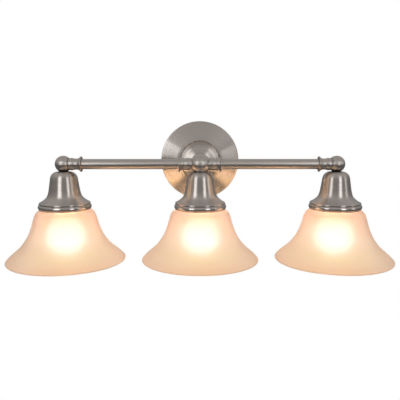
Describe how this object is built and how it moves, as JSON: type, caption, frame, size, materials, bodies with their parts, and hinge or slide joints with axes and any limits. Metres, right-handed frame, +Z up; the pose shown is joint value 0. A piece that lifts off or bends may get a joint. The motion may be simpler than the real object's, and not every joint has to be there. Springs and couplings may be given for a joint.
{
  "type": "vanity light bar",
  "caption": "Wall light bar on a round stepped backplate: straight tube between turned balls, bell fitter cups and downward frosted bell shades with screw-in bulbs.",
  "frame": {"origin": "centre of the box-screw slots on the mounting plate's back face, in the wall plane", "axes": "+X along the bar, +Y into the wall, +Z up"},
  "size_m": [0.6094, 0.2172, 0.2225],
  "materials": {
    "brushed_nickel": "brushed and lacquered nickel plate",
    "shade_glass": "frosted, peach-white, satin outside",
    "lamp_glass": "inside-frosted lamp envelope",
    "aluminium": "bright",
    "black_insulator": "glossy",
    "porcelain": "glazed",
    "brass": "bright",
    "zinc_steel": "zinc plated",
    "green_screw": "green dyed zinc",
    "copper": "bare copper",
    "black_lead": "insulation",
    "white_lead": "insulation",
    "block_plastic": "moulded"
  },
  "bodies": {
    "fixture": {"canopy": "brushed_nickel", "canopy_nuts": "brushed_nickel", "centre_cup": "brushed_nickel", "centre_socket_body": "porcelain", "centre_socket_cap": "zinc_steel", "centre_socket_contact": "brass", "centre_socket_shell": "brass", "ground_screw": "green_screw", "ground_wire": "copper", "hub_ball": "brushed_nickel", "lamp_nipples": "zinc_steel", "lamp_nuts": "zinc_steel", "left_ball": "brushed_nickel", "left_cup": "brushed_nickel", "left_end_coupling": "brushed_nickel", "left_hub_coupling": "brushed_nickel", "left_socket_body": "porcelain", "left_socket_cap": "zinc_steel", "left_socket_contact": "brass", "left_socket_shell": "brass", "left_tube": "brushed_nickel", "live_leads": "black_lead", "mounting_plate": "zinc_steel", "mounting_studs": "zinc_steel", "neutral_leads": "white_lead", "right_ball": "brushed_nickel", "right_cup": "brushed_nickel", "right_end_coupling": "brushed_nickel", "right_hub_coupling": "brushed_nickel", "right_socket_body": "porcelain", "right_socket_cap": "zinc_steel", "right_socket_contact": "brass", "right_socket_shell": "brass", "right_tube": "brushed_nickel", "stem_coupling": "brushed_nickel", "stem_foot": "brushed_nickel", "stem_nipple": "zinc_steel", "stem_nut": "zinc_steel", "stem_tube": "brushed_nickel", "stem_washer": "zinc_steel", "supply_terminal_block": "block_plastic", "terminal_screws": "brass"},
    "centre_bulb": {"centre_bulb_base": "aluminium", "centre_bulb_contact": "black_insulator", "centre_bulb_glass": "lamp_glass"},
    "centre_shade": {"centre_shade": "shade_glass"},
    "centre_ring": {"centre_shade_ring": "zinc_steel"},
    "left_bulb": {"left_bulb_base": "aluminium", "left_bulb_contact": "black_insulator", "left_bulb_glass": "lamp_glass"},
    "left_shade": {"left_shade": "shade_glass"},
    "left_ring": {"left_shade_ring": "zinc_steel"},
    "right_bulb": {"right_bulb_base": "aluminium", "right_bulb_contact": "black_insulator", "right_bulb_glass": "lamp_glass"},
    "right_shade": {"right_shade": "shade_glass"},
    "right_ring": {"right_shade_ring": "zinc_steel"}
  },
  "joints": [
    {"name": "left_shade_drop", "type": "slide", "parent": "fixture", "child": "left_shade", "axis": [0, 0, -1], "range_m": [0, 0.009]},
    {"name": "left_ring_turn", "type": "hinge", "parent": "left_shade", "child": "left_ring", "pos_m": [-0.2125, -0.125, -0.0643], "axis": [0, 0, -1], "range_deg": [0, 1080]},
    {"name": "left_bulb_out", "type": "slide", "parent": "fixture", "child": "left_bulb", "axis": [0, 0, -1], "range_m": [0, 0.125]},
    {"name": "centre_shade_drop", "type": "slide", "parent": "fixture", "child": "centre_shade", "axis": [0, 0, -1], "range_m": [0, 0.009]},
    {"name": "centre_ring_turn", "type": "hinge", "parent": "centre_shade", "child": "centre_ring", "pos_m": [0, -0.125, -0.0643], "axis": [0, 0, -1], "range_deg": [0, 1080]},
    {"name": "centre_bulb_out", "type": "slide", "parent": "fixture", "child": "centre_bulb", "axis": [0, 0, -1], "range_m": [0, 0.125]},
    {"name": "right_shade_drop", "type": "slide", "parent": "fixture", "child": "right_shade", "axis": [0, 0, -1], "range_m": [0, 0.009]},
    {"name": "right_ring_turn", "type": "hinge", "parent": "right_shade", "child": "right_ring", "pos_m": [0.2125, -0.125, -0.0643], "axis": [0, 0, -1], "range_deg": [0, 1080]},
    {"name": "right_bulb_out", "type": "slide", "parent": "fixture", "child": "right_bulb", "axis": [0, 0, -1], "range_m": [0, 0.125]}
  ],
  "couplings": [
    {"joint": "left_shade_drop", "follows": "left_ring_turn", "m_per_rad": 0.00047746},
    {"joint": "centre_shade_drop", "follows": "centre_ring_turn", "m_per_rad": 0.00047746},
    {"joint": "right_shade_drop", "follows": "right_ring_turn", "m_per_rad": 0.00047746}
  ]
}
